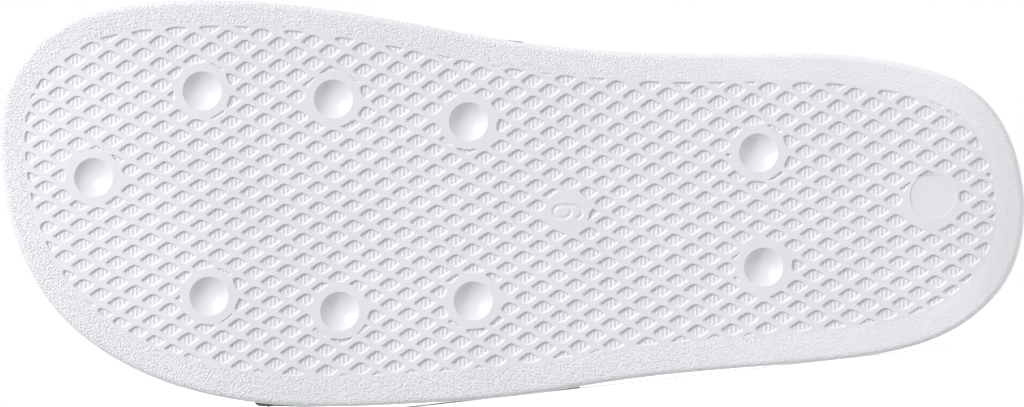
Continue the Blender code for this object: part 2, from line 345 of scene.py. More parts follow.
# Soft square lamps: one from the picture's upper left, in front of the underside, a weak one past the heel,
# low over the underside, and one from straight above for the floor alone
LAMPS = (
    # name, direction towards it in the shoe's frame, distance, size, watts, what it reaches
    ("key", (0.80, 0.60, -0.72), 4.5, 1.5, 157.0, "shoe"),
    ("fill", (-0.90, -0.25, -0.35), 1.2, 0.8, 17.0, "shoe"),
    ("floor_light", (0.0, 1.0, 0.0), 2.5, 3.0, 170.0, "floor"),
)


def spline(knots, values):
    """Return the natural cubic spline through the given values."""
    knots = numpy.array(knots, float)
    values = numpy.array(values, float)
    steps = numpy.diff(knots)
    slopes = numpy.diff(values) / steps
    count = len(knots)
    matrix = numpy.eye(count)
    right = numpy.zeros(count)
    for row in range(1, count - 1):
        matrix[row, row - 1] = steps[row - 1]
        matrix[row, row] = 2 * (steps[row - 1] + steps[row])
        matrix[row, row + 1] = steps[row]
        right[row] = 6 * (slopes[row] - slopes[row - 1])
    bends = numpy.linalg.solve(matrix, right)

    def value(place):
        index = min(max(int(numpy.searchsorted(knots, place)) - 1, 0), count - 2)
        step = steps[index]
        before = (knots[index + 1] - place) / step
        after = 1 - before
        bend = (before ** 3 - before) * bends[index] + (after ** 3 - after) * bends[index + 1]
        return before * values[index] + after * values[index + 1] + bend * step * step / 6

    return value


def station_angle(share):
    """Return the angle of a station, which spreads the stations evenly round the heel and the toe."""
    return math.acos(1 - 2 * min(max(share, 0.0), 1.0))


def closed_spline(rows):
    """Return the smooth closed curve through rows of station, big-toe side value, little-toe side value."""
    loop = [(-station_angle(share), -little) for share, _, little in reversed(rows)]
    loop += [(station_angle(share), big) for share, big, _ in rows[1:-1]]
    turns = [(angle + turn * 2 * math.pi, value) for turn in (-1, 0, 1) for angle, value in loop]
    return spline([angle for angle, _ in turns], [value for _, value in turns])


outline_across = closed_spline(OUTLINE)
rim_share = closed_spline([(share, height, -height) for share, height in RIM])
tread_margin = closed_spline([(share, big, -little) for share, big, little in TREAD_MARGINS])
strap_rear = spline([row[0] for row in STRAP_EDGES], [row[1] * SOLE_LENGTH for row in STRAP_EDGES])
strap_front = spline([row[0] for row in STRAP_EDGES], [row[2] * SOLE_LENGTH for row in STRAP_EDGES])


def outline_point(angle):
    """Return a point of the sole's outline; positive angles are on the big-toe side."""
    return Vector((SOLE_LENGTH * (1 - math.cos(angle)) / 2, SOLE_WIDTH * outline_across(angle), 0.0))


def outline_inset(angle, inset):
    """Return the outline's point at an angle, moved inwards by the inset."""
    along = outline_point(angle + TINY) - outline_point(angle - TINY)
    inwards = Vector((along.y, -along.x, 0.0)).normalized()
    return outline_point(angle) + inwards * inset


def side_reach(x, side, inset):
    """Return how far the inset outline reaches across at x, on side 1 (big toe) or -1 (little toe)."""
    angles = [side * station_angle((x + shift) / SOLE_LENGTH) for shift in (-TINY, 0.0, TINY)]
    before, here, after = (side * outline_point(angle).y for angle in angles)
    slope = (after - before) / (2 * TINY)
    return here - inset * math.hypot(1.0, slope)


def ground_height(x):
    """Return the height of the sole's underside: flat, rising at the toe and a little at the heel."""
    share = x / SOLE_LENGTH
    toe = max(share - TOE_BREAK, 0.0) / (1 - TOE_BREAK)
    heel = max(HEEL_BREAK - share, 0.0) / HEEL_BREAK
    return TOE_SPRING * toe ** 2 + HEEL_BEVEL * heel ** 2


def rim_height(x):
    return HEEL_HEIGHT * rim_share(station_angle(x / SOLE_LENGTH))


def recess_height(x):
    return rim_height(x) - RECESS_DEPTH


# The shoe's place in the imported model, from the record's two flat faces
mounts = {mount["name"]: mount for mount in frame["record"]["mounts"]}
MOUNT_HEEL = Vector(mounts["heel_ground"]["pos_m"])
MOUNT_FOREFOOT = Vector(mounts["forefoot_ground"]["pos_m"])
shoe_up = -Vector(mounts["heel_ground"]["axis"]).normalized()
shoe_along = MOUNT_FOREFOOT - MOUNT_HEEL
shoe_along = (shoe_along - shoe_up * shoe_along.dot(shoe_up)).normalized()
shoe_across = shoe_up.cross(shoe_along)
SHOE = Matrix((shoe_along, shoe_across, shoe_up)).transposed().to_4x4()
SHOE.translation = MOUNT_HEEL - shoe_along * MOUNT_HEEL_X

picture_right = Vector((-math.cos(PICTURE_TURN), -math.sin(PICTURE_TURN)))
picture_down = Vector((math.sin(PICTURE_TURN), -math.cos(PICTURE_TURN)))


class Shape:
    """Collects the vertices and faces of one mesh, in the shoe's own frame."""

    def __init__(self):
        self.points = []
        self.faces = []
        self.slots = []
        self.smooth = []

    def add(self, points):
        start = len(self.points)
        self.points.extend(tuple(point) for point in points)
        return list(range(start, len(self.points)))

    def face(self, corners, slot=0, smooth=True):
        self.faces.append(tuple(corners))
        self.slots.append(slot)
        self.smooth.append(smooth)

    def bridge(self, first, second, slot=0, smooth=True):
        """Join two closed rings of equal length with quads."""
        count = len(first)
        for index in range(count):
            after = (index + 1) % count
            self.face((first[index], first[after], second[after], second[index]), slot, smooth)

    def build(self, name, materials):
        data = bpy.data.meshes.new(name)
        data.from_pydata(self.points, [], self.faces)
        data.polygons.foreach_set("material_index", self.slots)
        data.polygons.foreach_set("use_smooth", self.smooth)
        for material in materials:
            data.materials.append(material)
        data.transform(SHOE)
        data.validate()
        data.update()
        made = bpy.data.objects.new(name, data)
        bpy.context.scene.collection.objects.link(made)
        return made


def tread_point(right, down):
    """Return the shoe's X and Y of a place given along the picture's right and down."""
    return Vector(TREAD_ORIGIN) + picture_right * right + picture_down * down


def cell_place(fall, climb):
    """Return the place of the tread grid's point, along the picture's right and down."""
    even = Vector(CELL_START) + Vector(CELL_FALL) * fall + Vector(CELL_CLIMB) * climb
    place = even
    for _ in range(3):
        right = place.x / DRIFT_SPAN[0]
        down = place.y / DRIFT_SPAN[1]
        drift = Vector((0.0, 0.0))
        for power_right, power_down, along, across in DRIFT:
            drift += Vector((along, across)) * (right ** power_right * down ** power_down)
        place = even + drift
    return place


# The outline as arrays, for the distance to it
outline_angles = numpy.linspace(-math.pi, math.pi, OUTLINE_SAMPLES + 1)[:-1]
outline_line = numpy.array([outline_point(angle)[:2] for angle in outline_angles])
outline_inward = numpy.array([outline_inset(angle, 1.0)[:2] for angle in outline_angles]) - outline_line
outline_margin = [tread_margin(angle) for angle in outline_angles]


def nearest_edge(x, y):
    """Return the outline's nearest point, its inward direction and the tread's margin there."""
    index = int(numpy.argmin((outline_line[:, 0] - x) ** 2 + (outline_line[:, 1] - y) ** 2))
    return outline_line[index], outline_inward[index], outline_margin[index]


def to_picture(vector):
    """Turn a direction in the shoe's X and Y to the picture's right and down."""
    return numpy.array((vector[0] * picture_right.x + vector[1] * picture_right.y,
                        vector[0] * picture_down.x + vector[1] * picture_down.y))


def place_in_picture(x, y):
    return to_picture((x - TREAD_ORIGIN[0], y - TREAD_ORIGIN[1]))


round_places = [(place_in_picture(station * SOLE_LENGTH, across * SOLE_WIDTH), CUP_CLEAR)
                for station, across in CUPS]
round_places.append((place_in_picture(*HEEL_CLEAR_PLACE), HEEL_DISC_CLEAR))
round_places.append((place_in_picture(*NUMBER_PLACE), NUMBER_CLEAR))


def cell_rings(fall, climb):
    """Return one tread cell as levels of points and the slices of its floor, or None where it is cut away.

    The cell is bounded by its four ribs, by the sole's margin and by the round places. Seen from a point
    inside, each bound gives a distance in every direction, and a high power mean rounds the corners.
    """
    centre = numpy.array(cell_place(fall, climb))
    side_fall = numpy.array(cell_place(fall + 0.5, climb) - cell_place(fall - 0.5, climb))
    side_climb = numpy.array(cell_place(fall, climb + 0.5) - cell_place(fall, climb - 0.5))
    shoe_place = tread_point(*centre)
    if not -CELL_SEARCH_REACH < shoe_place.x < SOLE_LENGTH + CELL_SEARCH_REACH:
        return None
    edge, inward, margin = nearest_edge(*shoe_place)
    depth_inside = (shoe_place.x - edge[0]) * inward[0] + (shoe_place.y - edge[1]) * inward[1]
    reach = numpy.hypot(*(side_fall + side_climb)) / 2
    if depth_inside < margin - reach:
        return None
    lines = []
    for side, other in ((side_fall, side_climb), (side_climb, side_fall)):
        normal = numpy.array((-other[1], other[0])) / numpy.hypot(*other)
        half = abs(side @ normal) / 2
        for turned in (normal, -normal):
            wall = CELL_WALL_UPPER if turned[1] < 0 else CELL_WALL_LOWER
            lines.append((turned, half - RIB_TOP_HALF, wall))
    if depth_inside < margin + reach:
        outward = -to_picture(inward)
        lines.append((outward, depth_inside - margin, CELL_WALL))
    circles = [(place - centre, radius) for place, radius in round_places
               if numpy.hypot(*(place - centre)) < radius + reach]

    grid = numpy.linspace(-0.5, 0.5, CELL_SAMPLES)
    share_fall, share_climb = numpy.meshgrid(grid, grid)
    samples = (share_fall[..., None] * side_fall + share_climb[..., None] * side_climb).reshape(-1, 2)
    inside = numpy.ones(len(samples), bool)
    for normal, limit, _ in lines:
        inside &= samples @ normal < limit
    for place, radius in circles:
        inside &= numpy.hypot(*(samples - place).T) > radius
    if inside.sum() / len(samples) < SMALLEST_CELL:
        return None
    kept = samples[inside]
    middle = kept[numpy.argmin(((kept - kept.mean(axis=0)) ** 2).sum(axis=1))]

    angles = numpy.linspace(-math.pi, math.pi, CELL_DIRECTIONS + 1)[:-1]
    rays = numpy.stack((numpy.cos(angles), numpy.sin(angles)), axis=1)

    def radii(directions, inset):
        # inset is a share of the wall's width
        total = numpy.zeros(len(directions))
        for normal, limit, wall in lines:
            room = limit - middle @ normal
            room = max(room - inset * wall, LEAST_ROOM * room)
            total += (numpy.maximum(directions @ normal, 0.0) / room) ** CORNER_SHARPNESS
        for place, radius in circles:
            away = place - middle
            room = numpy.hypot(*away) - radius
            grown = radius + min(inset * CELL_WALL, MOST_GROWTH * room)
            ahead = directions @ away
            square = ahead ** 2 - (away @ away - grown ** 2)
            meets = (square > 0) & (ahead > 0)
            distance = ahead - numpy.sqrt(numpy.maximum(square, 0.0))
            total[meets] += (1 / distance[meets]) ** CORNER_SHARPNESS
        return total ** (-1 / CORNER_SHARPNESS)

    floor = middle + rays * radii(rays, 1.0)[:, None]
    rights = (floor + centre)[:, 0]
    left_tip = int(numpy.argmin(rights))
    right_tip = int(numpy.argmax(rights))
    half_pitch = FINE_RIB_PITCH / 2
    first = math.ceil((rights[left_tip] + RIB_END_SHARE * half_pitch) / half_pitch)
    last = math.floor((rights[right_tip] - RIB_END_SHARE * half_pitch) / half_pitch)
    if last < first:
        return None
    cuts = [step * half_pitch for step in range(first, last + 1)]
    count = len(angles)
    span = (right_tip - left_tip) % count
    one = [(left_tip + step) % count for step in range(span + 1)]
    two = [(left_tip - step) % count for step in range(count - span + 1)]
    chains = []
    for chain in (one, two):
        line = numpy.maximum.accumulate(rights[chain]) + numpy.arange(len(chain)) * 1e-12
        steps = numpy.interp(cuts, line, numpy.arange(len(chain)))
        steps = [steps[0] / 2, *steps, (steps[-1] + len(chain) - 1) / 2]
        turn = 2 * math.pi / (count if chain is one else -count)
        chains.append([angles[left_tip] + turn * step for step in steps])
    order = [angles[left_tip]] + chains[0] + [angles[right_tip]] + chains[1][::-1]
    rays = numpy.array([(math.cos(angle), math.sin(angle)) for angle in order])
    levels = [centre + middle + rays * radii(rays, inset)[:, None] for inset in (0.0, SHOULDER_SHARE, 1.0)]
    room = min(limit - middle @ normal for normal, limit, _ in lines)
    depth = CELL_DEPTH * min(1.0, room / FULL_DEPTH_ROOM)
    return levels, first, len(cuts), depth


def disc_points(place, radius):
    return [Vector(place) + Vector((math.cos(turn), math.sin(turn))) * radius
            for turn in (2 * math.pi * step / CUP_SEGMENTS for step in range(CUP_SEGMENTS))]


# The rings of sole and footbed: steps and angles from the heel round, the big-toe side's first and positive
ring_steps = (*range(OUTLINE_STEPS + 1), *range(1 - OUTLINE_STEPS, 0))
ring_turns = [math.pi * step / OUTLINE_STEPS for step in ring_steps]


def underside_loops():
    """Return the loops that cut up the underside, each with its kind, and the cells in their order."""
    loops = [("outline", [outline_inset(turn, EDGE_ROUND_WIDTH).to_2d() for turn in ring_turns]),
             ("margin", [outline_inset(turn, tread_margin(turn) - GRAIN_GAP).to_2d() for turn in ring_turns])]
    cells = []
    for fall in range(-CELL_RANGE, CELL_RANGE + 1):
        for climb in range(-CELL_RANGE, CELL_RANGE + 1):
            cell = cell_rings(fall, climb)
            if cell is not None:
                cells.append(cell)
                loops.append(("cell", [tread_point(*point) for point in cell[0][0]]))
    for station, across in CUPS:
        loops.append(("cup", disc_points((station * SOLE_LENGTH, across * SOLE_WIDTH), CUP_RADIUS)))
    loops.append(("disc", disc_points(HEEL_DISC, HEEL_DISC_RADIUS)))
    loops.append(("number", disc_points(NUMBER_PLACE, NUMBER_CLEAR - NUMBER_BORDER_GAP)))
    return loops, cells


def add_underside(shape, loops):
    """Add the underside between the cells as triangles, and return its loops as rings of the shape."""
    flat = []
    bounds = []
    for _, points in loops:
        bounds.append(list(range(len(flat), len(flat) + len(points))))
        flat.extend(points)
    number_start = len(flat)
    flat.extend(number_points())
    # A loop owns the triangles on its left, so the two round the sole are turned to run that way
    turned = [bounds[0][::-1], bounds[1][::-1], *bounds[2:]]
    points, _, triangles, origins, _, owners = delaunay_2d_cdt(
        [point * TO_MILLIMETRES for point in flat], [], turned, TRIANGLES_INSIDE, MERGE_DISTANCE)
    places = []
    for point in points:
        x = point.x / TO_MILLIMETRES
        places.append((x, point.y / TO_MILLIMETRES, ground_height(x)))
    number_depths(places, origins, number_start)
    base = shape.add(places)
    for triangle, sources in zip(triangles, owners):
        kinds = {loops[source][0] for source in sources}
        if kinds & {"cell", "cup", "disc"}:
            continue
        slot = RUBBER if "margin" in kinds else GRAIN
        a, b, c = (places[corner] for corner in triangle)
        turn = (b[0] - a[0]) * (c[1] - a[1]) - (b[1] - a[1]) * (c[0] - a[0])
        corners = triangle if turn < 0 else triangle[::-1]
        shape.face([base[corner] for corner in corners], slot, "number" in kinds)
    index_of = {source: index for index, sources in enumerate(origins) for source in sources}
    return [[base[index_of[source]] for source in bound] for bound in bounds]


def add_cell(shape, above, cell):
    """Add a cell's shoulder, wall and ribbed floor under its loop of the underside."""
    levels, first, cuts, depth = cell
    rings = [above]
    for level, drop in ((levels[1], SHOULDER_DROP), (levels[2], depth)):
        points = [tread_point(*place) for place in level]
        rings.append(shape.add([(point.x, point.y, ground_height(point.x) + drop) for point in points]))
        shape.bridge(rings[-1], rings[-2])
    floor = rings[-1]
    one = floor[:cuts + 4]
    two = [floor[0]] + floor[cuts + 3:][::-1]
    for step in range(2, cuts + 2):
        if (first + step) % 2:
            for index in (one[step], two[step]):
                x, y, z = shape.points[index]
                shape.points[index] = (x, y, z - FINE_RIB_HEIGHT)
    strips = [(one[0], one[1], one[2], two[2], two[1])]
    strips += [(one[step], one[step + 1], two[step + 1], two[step]) for step in range(2, cuts + 1)]
    strips.append((one[cuts + 1], one[cuts + 2], one[cuts + 3], two[cuts + 2], two[cuts + 1]))
    for strip in strips:
        shape.face(strip[::-1], RUBBER, False)


def cup_profile():
    """Return a cup's profile: its small shoulder, then a dish cut by a ball."""
    ball = (CUP_RADIUS ** 2 + CUP_DEPTH ** 2) / (2 * CUP_DEPTH)
    profile = list(CUP_SHOULDER)
    for step in range(1, CUP_RINGS):
        share = CUP_SHOULDER[-1][0] * (1 - step / CUP_RINGS)
        profile.append((share, math.sqrt(ball ** 2 - (share * CUP_RADIUS) ** 2) - (ball - CUP_DEPTH)))
    return [*profile, (0.0, CUP_DEPTH)]


def add_dish(shape, above, profile):
    """Add a round dish under its loop of the underside."""
    centre = sum((Vector(shape.points[index]) for index in above), Vector()) / len(above)
    rings = [above]
    for share, drop in profile[:-1]:
        lowered = []
        for index in above:
            point = Vector(shape.points[index]).lerp(centre, 1 - share)
            point.z = ground_height(point.x) + drop
            lowered.append(point)
        rings.append(shape.add(lowered))
    tip = shape.add([(centre.x, centre.y, ground_height(centre.x) + profile[-1][1])])[0]
    for ring_above, ring_below in zip(rings, rings[1:]):
        shape.bridge(ring_below, ring_above)
    last = rings[-1]
    for index in range(len(last)):
        shape.face((last[(index + 1) % len(last)], last[index], tip))


def add_sides(shape, lowest):
    """Add the rounded edge, wall, rim and recess above the underside's outline."""

    def ring(inset, height):
        points = []
        for turn in ring_turns:
            point = outline_inset(turn, inset)
            point.z = height(point.x)
            points.append(point)
        return shape.add(points)

    def wall_height(x, share):
        return (ground_height(x) + EDGE_ROUND_HEIGHT) * (1 - share) + (rim_height(x) - RIM_ROUND) * share

    quarter = [math.pi / 2 * step / ROUND_STEPS for step in range(ROUND_STEPS + 1)]
    rings = [lowest]
    for angle in quarter[1:]:
        inset = EDGE_ROUND_WIDTH * (1 - math.sin(angle) ** EDGE_ROUND_POWER)
        rise = EDGE_ROUND_HEIGHT * (1 - max(math.cos(angle), 0.0) ** EDGE_ROUND_POWER)
        rings.append(ring(inset, lambda x: ground_height(x) + rise))
    for share in WALL_SHARES:
        rings.append(ring(WALL_LEAN * share, lambda x: wall_height(x, share)))
    for angle in quarter[::2]:
        inset = WALL_LEAN + RIM_ROUND * (1 - math.cos(angle))
        drop = RIM_ROUND * (1 - math.sin(angle))
        rings.append(ring(inset, lambda x: rim_height(x) - drop))
    rings.append(ring(RIM_WIDTH - RIM_BREAK, rim_height))
    rings.append(ring(RIM_WIDTH, lambda x: rim_height(x) - RIM_BREAK))
    rings.append(ring(RIM_WIDTH, recess_height))
    for ring_below, ring_above in zip(rings, rings[1:]):
        shape.bridge(ring_above, ring_below, GRAIN)
    top = rings[-1]
    rows = [(top[step], top[-step]) for step in range(1, OUTLINE_STEPS)]
    for (big, little), (next_big, next_little) in zip(rows, rows[1:]):
        shape.face((little, next_little, next_big, big), GRAIN)
    shape.face((top[0], rows[0][1], rows[0][0]), GRAIN)
    shape.face((top[OUTLINE_STEPS], rows[-1][0], rows[-1][1]), GRAIN)


def make_sole(materials):
    """Make the sole unit with its tread, cups, heel disc, size number, grained margin, wall and recess."""
    shape = Shape()
    loops, cells = underside_loops()
    rings = add_underside(shape, loops)
    kinds = [kind for kind, _ in loops]
    for ring, cell in zip((ring for ring, kind in zip(rings, kinds) if kind == "cell"), cells):
        add_cell(shape, ring, cell)
    profiles = {"cup": cup_profile(),
                "disc": [(share, HEEL_DISC_STEP * drop) for share, drop in HEEL_DISC_PROFILE]}
    for ring, kind in zip(rings, kinds):
        if kind in profiles:
            add_dish(shape, ring, profiles[kind])
    add_sides(shape, rings[0])
    made = shape.build("sole_unit", materials)
    weighted = made.modifiers.new("normals", "WEIGHTED_NORMAL")
    weighted.keep_sharp = True
    return made


def number_line():
    """Return the centre line of the size number as points from its patch's middle."""
    line = [(NUMBER_LOOP_CENTRE[0] + NUMBER_LOOP_RADII[0] * math.cos(turn),
             NUMBER_LOOP_CENTRE[1] + NUMBER_LOOP_RADII[1] * math.sin(turn))
            for turn in numpy.linspace(0, 2 * math.pi, NUMBER_LOOP_STEPS + 1)]
    knots = numpy.arange(len(NUMBER_TAIL))
    right = spline(knots, [row[0] for row in NUMBER_TAIL])
    down = spline(knots, [row[1] for row in NUMBER_TAIL])
    line += [(right(place), down(place)) for place in numpy.linspace(0, knots[-1], NUMBER_TAIL_STEPS + 1)]
    return numpy.array(line)


def number_points():
    """Return a fine grid of points over the size number's patch."""
    points = []
    reach = NUMBER_CLEAR - NUMBER_GRID_GAP
    count = int(reach / NUMBER_GRID)
    for row in range(-count, count + 1):
        for column in range(-count, count + 1):
            right = (column + 0.5 * (row % 2)) * NUMBER_GRID
            down = row * NUMBER_GRID
            if math.hypot(right, down) < reach:
                points.append(Vector(NUMBER_PLACE) + picture_right * right + picture_down * down)
    return points


def number_depths(places, origins, first):
    """Sink the grid points near the size number's centre line; they come from the sources past the first."""
    line = number_line()
    for index, sources in enumerate(origins):
        if not any(source >= first for source in sources):
            continue
        x, y, z = places[index]
        right, down = to_picture((x - NUMBER_PLACE[0], y - NUMBER_PLACE[1]))
        distance = numpy.hypot(line[:, 0] - right, line[:, 1] - down).min()
        share = min(distance / NUMBER_HALF_WIDTH, 1.0)
        places[index] = (x, y, z + NUMBER_DEPTH * (0.5 + 0.5 * math.cos(math.pi * share)))


def footbed_contour(x, across):
    """Return the footbed's rise over its flat height; across runs from -1 to 1 at the big-toe side."""
    share = x / SOLE_LENGTH
    heel = HEEL_CUP_RISE * across ** 2 * (1 - share)
    arch = ARCH_RISE * math.exp(-((share - ARCH_STATION) / ARCH_SPREAD) ** 2) * max(across, 0.0) ** 2
    bar_offset = share - TOE_BAR_STATION - TOE_BAR_SLANT * across
    bar = TOE_BAR_RISE * math.exp(-(bar_offset / TOE_BAR_SPREAD) ** 2) * (1 - across ** 2)
    return heel + arch + bar


def footbed_top(x, across):
    return recess_height(x) + CLEARANCE + FOOTBED_THICKNESS + footbed_contour(x, across)


def make_footbed(material):
    """Make the contoured insole, notched for the strap's two ends."""
    shape = Shape()
    inset = RIM_WIDTH + CLEARANCE

    def level(extra, height):
        points = []
        for step, turn in zip(ring_steps, ring_turns):
            point = outline_inset(turn, inset + extra)
            across = 0 if step in (0, OUTLINE_STEPS) else 1 if step > 0 else -1
            point.z = height(point.x, across)
            points.append(point)
        return shape.add(points)

    rings = [level(0, lambda x, across: recess_height(x) + CLEARANCE)]
    for share in FOOTBED_ROUND_SHARES:
        angle = math.pi / 2 * share
        sunk = FOOTBED_EDGE_ROUND * (1 - math.sin(angle))
        rings.append(level(FOOTBED_EDGE_ROUND * (1 - math.cos(angle)),
                           lambda x, across: footbed_top(x, across) - sunk))
    for ring_below, ring_above in zip(rings, rings[1:]):
        shape.bridge(ring_above, ring_below)
    for ring, columns, upward in ((rings[0], 1, False), (rings[-1], FOOTBED_COLUMNS, True)):
        rows = []
        for step in range(1, OUTLINE_STEPS):
            big = Vector(shape.points[ring[step]])
            little = Vector(shape.points[ring[-step]])
            inner = []
            for column in range(1, columns):
                share = column / columns
                point = little.lerp(big, share)
                point.z = footbed_top(point.x, 2 * share - 1)
                inner.append(point)
            rows.append([ring[-step], *shape.add(inner), ring[step]])
        for row, following in zip(rows, rows[1:]):
            for column in range(columns):
                face = (row[column], following[column], following[column + 1], row[column + 1])
                shape.face(face[::-1] if upward else face)
        for tip, row, at_heel in ((ring[0], rows[0], True), (ring[OUTLINE_STEPS], rows[-1], False)):
            for column in range(columns):
                face = (tip, row[column], row[column + 1])
                shape.face(face[::-1] if upward == at_heel else face)
    made = shape.build("footbed_foam", [material])
    cutter = make_strap_cutter()
    modifier = made.modifiers.new("notch", "BOOLEAN")
    modifier.operation = "DIFFERENCE"
    modifier.solver = "EXACT"
    modifier.object = cutter
    bake_modifiers(made)
    bpy.data.objects.remove(cutter)
    made.data.set_sharp_from_angle(angle=FOOTBED_SHARP_ANGLE)
    return made


def bake_modifiers(piece):
    """Keep the shape that a piece's modifiers give, and remove them."""
    evaluated = piece.evaluated_get(bpy.context.evaluated_depsgraph_get())
    piece.data = bpy.data.meshes.new_from_object(evaluated)
    piece.modifiers.clear()


def strap_middle(arch, band):
    """Return a point of the strap's middle layer.

    arch runs from 0, just over the little-toe side's rim, to 1 over the big-toe side's rim, and past
    either end it goes down the slot beside the footbed. band runs from 0 at the rear edge to 1 at the front.
    """
    over = min(max(arch, 0.0), 1.0)
    x = strap_rear(over) + (strap_front(over) - strap_rear(over)) * band
    side = 1 if arch > 0.5 else -1
    height = math.sin(math.pi * over) ** (2 / ARCH_POWER)
    across = abs(math.cos(math.pi * over)) ** (2 / ARCH_POWER)
    overhang = STRAP_OVERHANG_BIG_TOE if side > 0 else STRAP_OVERHANG_LITTLE_TOE
    flare = RIM_WIDTH + CLEARANCE + overhang + STRAP_EDGE_FLARE * (2 * band - 1) ** 2
    flare *= math.sin(math.pi / 2 * min(height / FLARE_TOP, 1.0))
    reach = side_reach(x, side, RIM_WIDTH + CLEARANCE + STRAP_WALL / 2) + flare
    y = side * reach * across + STRAP_CROWN_SHIFT * math.sin(math.pi * over) ** 2
    crown_rear = strap_rear(0.5)
    crown_share = (x - crown_rear) / (strap_front(0.5) - crown_rear)
    crown = STRAP_REAR_HEIGHT + (STRAP_FRONT_HEIGHT - STRAP_REAR_HEIGHT) * crown_share + STRAP_WALL / 2
    bend = rim_height(x) + STRAP_BEND_LIFT
    z = bend + (crown - bend) * height
    past = max(-arch, arch - 1.0, 0.0)
    return Vector((x, y, z - past))


def strap_out(arch, band):
    """Return the direction out of the strap's outer face."""
    along = strap_middle(arch + TINY, band) - strap_middle(arch - TINY, band)
    across = strap_middle(arch, band + TINY) - strap_middle(arch, band - TINY)
    return across.cross(along).normalized()


def strap_width(arch):
    over = min(max(arch, 0.0), 1.0)
    return strap_front(over) - strap_rear(over)


def strap_arches(steps, slot_depth):
    """Return the places along the strap's arch, with its ends down the slots."""
    arches = [-slot_depth, -slot_depth / 2]
    arches += [step / steps for step in range(steps + 1)]
    return arches + [1 + slot_depth / 2, 1 + slot_depth]


def make_strap_cutter():
    shape = Shape()
    half = STRAP_WALL / 2 + CLEARANCE
    loops = []
    for arch in strap_arches(CUTTER_ARCH_STEPS, RECESS_DEPTH + STRAP_BEND_LIFT):
        spread = CLEARANCE / strap_width(arch)
        bands = [-spread + (1 + 2 * spread) * step / CUTTER_BANDS for step in range(CUTTER_BANDS + 1)]
        outer = [strap_middle(arch, band) + strap_out(arch, band) * half for band in bands]
        inner = [strap_middle(arch, band) - strap_out(arch, band) * half for band in bands]
        loops.append(shape.add(outer + inner[::-1]))
    for loop, following in zip(loops, loops[1:]):
        shape.bridge(loop, following)
    shape.face(loops[0][::-1])
    shape.face(loops[-1])
    return shape.build("strap_cutter", [])


def bead(distance, width, proud):
    """Return how far a binding of that width stands proud at a distance from the strap's edge."""
    if distance >= width:
        return 0.0
    share = abs(2 * distance / width - 1)
    return proud * math.sqrt(1 - share ** 4)


def edge_round(distance):
    """Return the share of the wall's half thickness at a distance from the strap's edge."""
    radius = STRAP_WALL / 2
    if distance >= radius:
        return 1.0
    return math.sqrt(max(1 - (1 - distance / radius) ** 2, 0.0))


def lay_on_floor(piece):
    """Lay flat on the floor what would reach below it."""
    for vertex in piece.data.vertices:
        vertex.co.z = max(vertex.co.z, 0.0)


def make_strap(materials):
    """Make the band: grained outer face, rolled binding on both edges and textile lining."""
    shape = Shape()
    radius = STRAP_WALL / 2
    quarter = [math.pi / 2 * step / STRAP_ROUND_STEPS for step in range(1, STRAP_ROUND_STEPS + 1)]
    near = [radius * (1 - math.cos(angle)) for angle in quarter]
    near += [radius + STRAP_NEAR_STEP * step for step in range(1, STRAP_NEAR_STEPS + 1)]
    loops = []
    for arch in strap_arches(STRAP_ARCH_STEPS, RECESS_DEPTH + STRAP_BEND_LIFT - CLEARANCE):
        width = strap_width(arch)
        middle = numpy.linspace(near[-1], width - near[-1], STRAP_MIDDLE_STEPS)[1:-1]
        distances = [0.0, *near, *middle, *(width - distance for distance in near[::-1]), width]
        outer = []
        inner = []
        for distance in distances:
            band = distance / width
            place = strap_middle(arch, band)
            out = strap_out(arch, band)
            edge = min(distance, width - distance)
            proud = inside = 0.0
            if 0.0 <= arch <= 1.0:
                inside = bead(edge, BINDING_INSIDE_WIDTH, BINDING_INSIDE_PROUD)
                if distance < width / 2:
                    proud = bead(edge, REAR_BINDING_WIDTH, REAR_BINDING_PROUD)
                else:
                    proud = bead(edge, FRONT_BINDING_WIDTH, FRONT_BINDING_PROUD)
            outer.append(place + out * (radius * edge_round(edge) + proud))
            if edge > 0.0:
                inner.append(place - out * (radius * edge_round(edge) + inside))
        loops.append(shape.add(outer + inner[::-1]))
    # The finish of each strip of faces round the band, the same all along the arch
    count = len(distances)
    total = 2 * count - 2
    finishes = []
    for index in range(total):
        if index < count - 1:
            first, second = distances[index], distances[index + 1]
            border = REAR_BINDING_WIDTH if index < count / 2 else FRONT_BINDING_WIDTH
        else:
            first, second = distances[min(total - index, count - 1)], distances[total - index - 1]
            border = BINDING_INSIDE_WIDTH
        bound = min(first + second, 2 * width - first - second) / 2 < border
        finishes.append(BINDING if bound else LEATHER if index < count - 1 else LINING)
    for loop, following in zip(loops, loops[1:]):
        for index, finish in enumerate(finishes):
            after = (index + 1) % total
            shape.face((loop[index], loop[after], following[after], following[index]), finish)
    shape.face(loops[0][::-1], BINDING)
    shape.face(loops[-1], BINDING)
    made = shape.build("strap_upper", materials)
    lay_on_floor(made)
    return made


